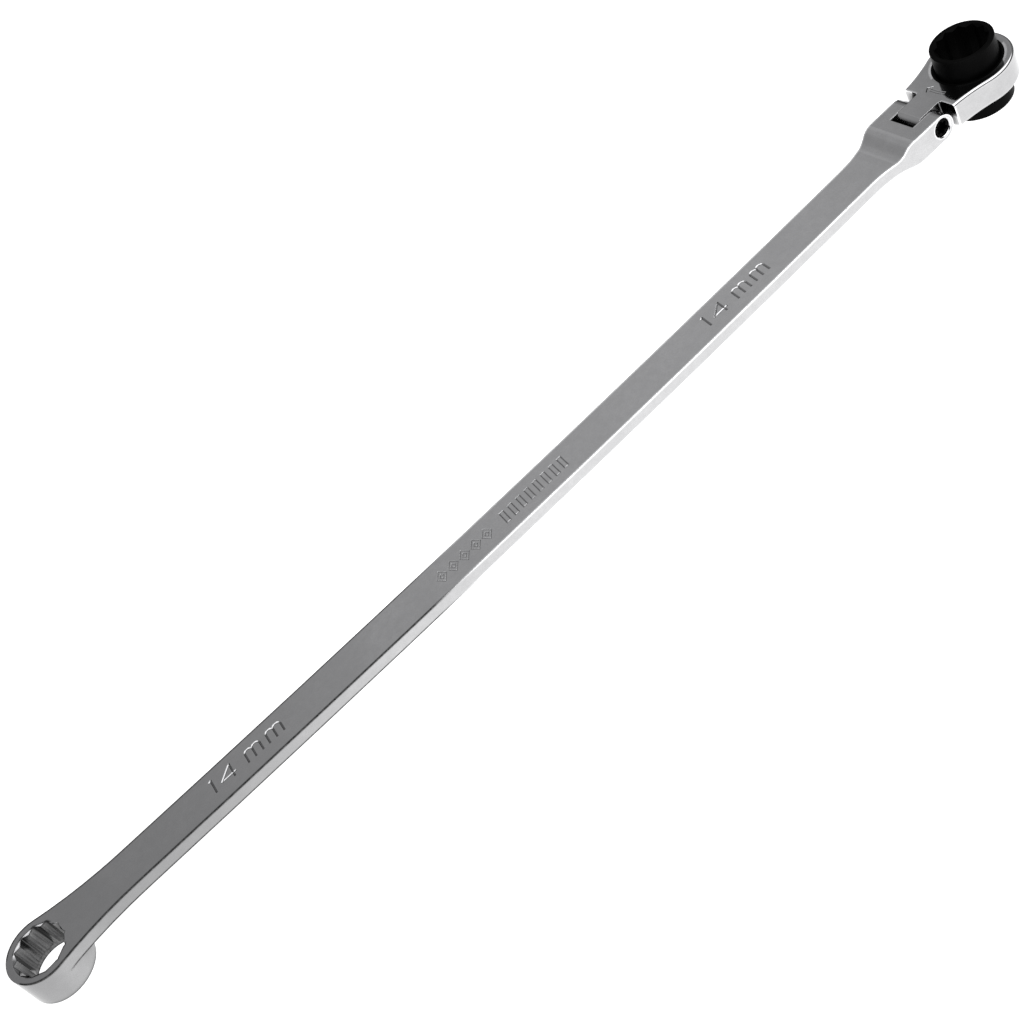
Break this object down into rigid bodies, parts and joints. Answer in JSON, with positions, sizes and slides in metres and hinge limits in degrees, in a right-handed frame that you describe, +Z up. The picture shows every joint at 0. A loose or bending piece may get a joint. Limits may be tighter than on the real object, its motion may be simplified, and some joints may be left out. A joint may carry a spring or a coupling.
{
  "type": "ratchet wrench",
  "caption": "Long flat steel ratchet wrench with a plain 12-point box end and a flexing ratchet head whose through gear stands above and below it.",
  "frame": {"origin": "centre of the box end's opening, on the plane the wrench rests on", "axes": "+X along the bar to the ratchet head, +Z up along the box end's opening, +Y to the left of +X"},
  "size_m": [0.3843, 0.027, 0.0213],
  "materials": {
    "polished_steel": "satin-polished chrome plate",
    "black_oxide": "black oxide, semi-gloss",
    "spring_steel": "bright ground steel",
    "seal_rubber": "matte"
  },
  "bodies": {
    "handle": {"handle_bar": "polished_steel", "hinge_screw": "black_oxide", "plunger_spring": "spring_steel"},
    "plunger": {"friction_plunger": "spring_steel"},
    "head": {"head_housing": "polished_steel", "thrust_washer": "black_oxide", "snap_ring": "black_oxide", "drag_ring": "seal_rubber", "pawl_spring": "spring_steel"},
    "pawl": {"pawl": "spring_steel"},
    "gear": {"drive_gear": "black_oxide"}
  },
  "joints": [
    {"name": "head_flex", "type": "hinge", "parent": "handle", "child": "head", "pos_m": [0.3382, 0, 0.0099], "axis": [0, 1, 0], "range_deg": [-90, 90]},
    {"name": "gear_spin", "type": "hinge", "parent": "head", "child": "gear", "pos_m": [0.3606, 0, 0.0099], "axis": [0, 0, 1], "continuous": true},
    {"name": "pawl_slide", "type": "slide", "parent": "head", "child": "pawl", "axis": [-1, 0, 0], "range_m": [-0.0006, 0.0003], "stiffness_N_per_m": 300},
    {"name": "plunger_press", "type": "slide", "parent": "handle", "child": "plunger", "axis": [-1, 0, 0], "range_m": [0, 0.0008], "stiffness_N_per_m": 500, "springref_m": -0.001}
  ]
}
